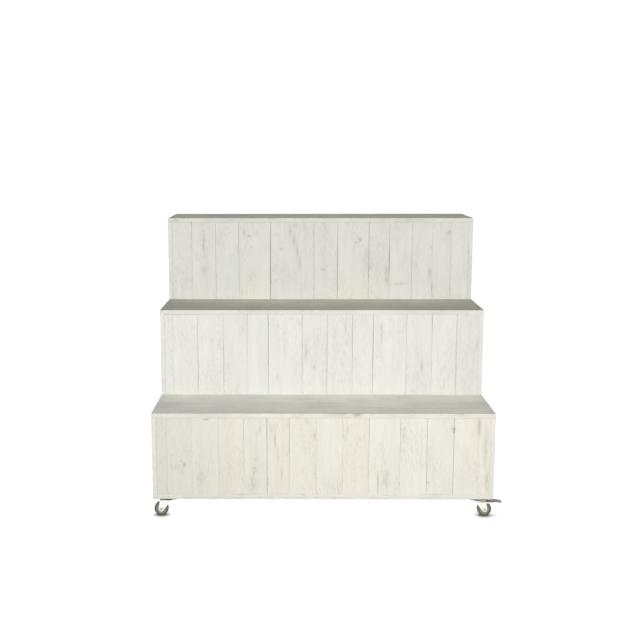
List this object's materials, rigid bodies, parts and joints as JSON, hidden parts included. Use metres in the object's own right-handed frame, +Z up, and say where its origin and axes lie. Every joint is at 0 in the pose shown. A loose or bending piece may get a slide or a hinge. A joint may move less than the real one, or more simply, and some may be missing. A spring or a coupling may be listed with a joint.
{
  "type": "tiered display table",
  "caption": "Stepped display table clad in whitewashed boards over a timber frame, on swivel castors, some with brake pedals, for showing goods at rising heights.",
  "frame": {"origin": "on the floor under the wheels, in the middle of the table and its castors seen from above", "axes": "+Z up, +X to the right along the table's width, and -Y is the front, so the steps rise towards +Y"},
  "size_m": [1.271, 0.9, 1.02],
  "materials": {
    "whitewashed_board": "matt whitewash, worn thin, over softwood",
    "bare_softwood": "sawn, unpainted",
    "nail_steel": "dull",
    "zinc_plated_steel": "bright zinc plate",
    "ball_steel": "polished",
    "wheel_plastic": "moulded, matt",
    "tyre_rubber": "dull grey-brown"
  },
  "bodies": {
    "case": {"base_boards": "whitewashed_board", "lower_tread": "whitewashed_board", "middle_tread": "whitewashed_board", "top_tread": "whitewashed_board", "lower_front_boards": "whitewashed_board", "middle_front_boards": "whitewashed_board", "upper_front_boards": "whitewashed_board", "left_side_lower_boards": "whitewashed_board", "left_side_middle_boards": "whitewashed_board", "left_side_upper_boards": "whitewashed_board", "right_side_lower_boards": "whitewashed_board", "right_side_middle_boards": "whitewashed_board", "right_side_upper_boards": "whitewashed_board", "back_boards": "whitewashed_board", "left_sill": "bare_softwood", "right_sill": "bare_softwood", "front_posts": "bare_softwood", "middle_posts": "bare_softwood", "upper_posts": "bare_softwood", "rear_posts": "bare_softwood", "bottom_rails": "bare_softwood", "front_rails": "bare_softwood", "riser_rails": "bare_softwood", "rear_rails": "bare_softwood", "side_rails": "bare_softwood", "tread_bearers": "bare_softwood", "cladding_nails": "nail_steel", "castor_screws": "zinc_plated_steel", "front_left_castor_plate": "zinc_plated_steel", "front_left_kingpin": "zinc_plated_steel", "front_left_swivel_balls": "ball_steel", "front_right_castor_plate": "zinc_plated_steel", "front_right_kingpin": "zinc_plated_steel", "front_right_swivel_balls": "ball_steel", "rear_left_castor_plate": "zinc_plated_steel", "rear_left_kingpin": "zinc_plated_steel", "rear_left_swivel_balls": "ball_steel", "rear_right_castor_plate": "zinc_plated_steel", "rear_right_kingpin": "zinc_plated_steel", "rear_right_swivel_balls": "ball_steel"},
    "front_left_swivel": {"front_left_fork": "zinc_plated_steel", "front_left_axle": "zinc_plated_steel"},
    "front_left_wheel": {"front_left_wheel_hub": "wheel_plastic", "front_left_tyre": "tyre_rubber"},
    "front_right_swivel": {"front_right_fork": "zinc_plated_steel", "front_right_axle": "zinc_plated_steel", "front_right_brake_pin": "zinc_plated_steel"},
    "front_right_wheel": {"front_right_wheel_hub": "wheel_plastic", "front_right_tyre": "tyre_rubber"},
    "front_right_pedal": {"front_right_brake_pedal": "zinc_plated_steel"},
    "rear_left_swivel": {"rear_left_fork": "zinc_plated_steel", "rear_left_axle": "zinc_plated_steel", "rear_left_brake_pin": "zinc_plated_steel"},
    "rear_left_wheel": {"rear_left_wheel_hub": "wheel_plastic", "rear_left_tyre": "tyre_rubber"},
    "rear_left_pedal": {"rear_left_brake_pedal": "zinc_plated_steel"},
    "rear_right_swivel": {"rear_right_fork": "zinc_plated_steel", "rear_right_axle": "zinc_plated_steel"},
    "rear_right_wheel": {"rear_right_wheel_hub": "wheel_plastic", "rear_right_tyre": "tyre_rubber"}
  },
  "joints": [
    {"name": "front_left_swivel_turn", "type": "hinge", "parent": "case", "child": "front_left_swivel", "pos_m": [-0.548, -0.414, 0.061], "axis": [0, 0, 1], "continuous": true},
    {"name": "front_left_wheel_spin", "type": "hinge", "parent": "front_left_swivel", "child": "front_left_wheel", "pos_m": [-0.575, -0.414, 0.025], "axis": [0, 1, 0], "continuous": true},
    {"name": "front_right_swivel_turn", "type": "hinge", "parent": "case", "child": "front_right_swivel", "pos_m": [0.548, -0.414, 0.061], "axis": [0, 0, 1], "continuous": true},
    {"name": "front_right_wheel_spin", "type": "hinge", "parent": "front_right_swivel", "child": "front_right_wheel", "pos_m": [0.575, -0.414, 0.025], "axis": [0, 1, 0], "continuous": true},
    {"name": "front_right_brake_tip", "type": "hinge", "parent": "front_right_swivel", "child": "front_right_pedal", "pos_m": [0.556, -0.414, 0.052], "axis": [0, 1, 0], "range_deg": [0, 7]},
    {"name": "rear_left_swivel_turn", "type": "hinge", "parent": "case", "child": "rear_left_swivel", "pos_m": [-0.548, 0.414, 0.061], "axis": [0, 0, 1], "continuous": true},
    {"name": "rear_left_wheel_spin", "type": "hinge", "parent": "rear_left_swivel", "child": "rear_left_wheel", "pos_m": [-0.575, 0.414, 0.025], "axis": [0, 1, 0], "continuous": true},
    {"name": "rear_left_brake_tip", "type": "hinge", "parent": "rear_left_swivel", "child": "rear_left_pedal", "pos_m": [-0.556, 0.414, 0.052], "axis": [0, -1, 0], "range_deg": [0, 7]},
    {"name": "rear_right_swivel_turn", "type": "hinge", "parent": "case", "child": "rear_right_swivel", "pos_m": [0.548, 0.414, 0.061], "axis": [0, 0, 1], "continuous": true},
    {"name": "rear_right_wheel_spin", "type": "hinge", "parent": "rear_right_swivel", "child": "rear_right_wheel", "pos_m": [0.575, 0.414, 0.025], "axis": [0, 1, 0], "continuous": true}
  ]
}
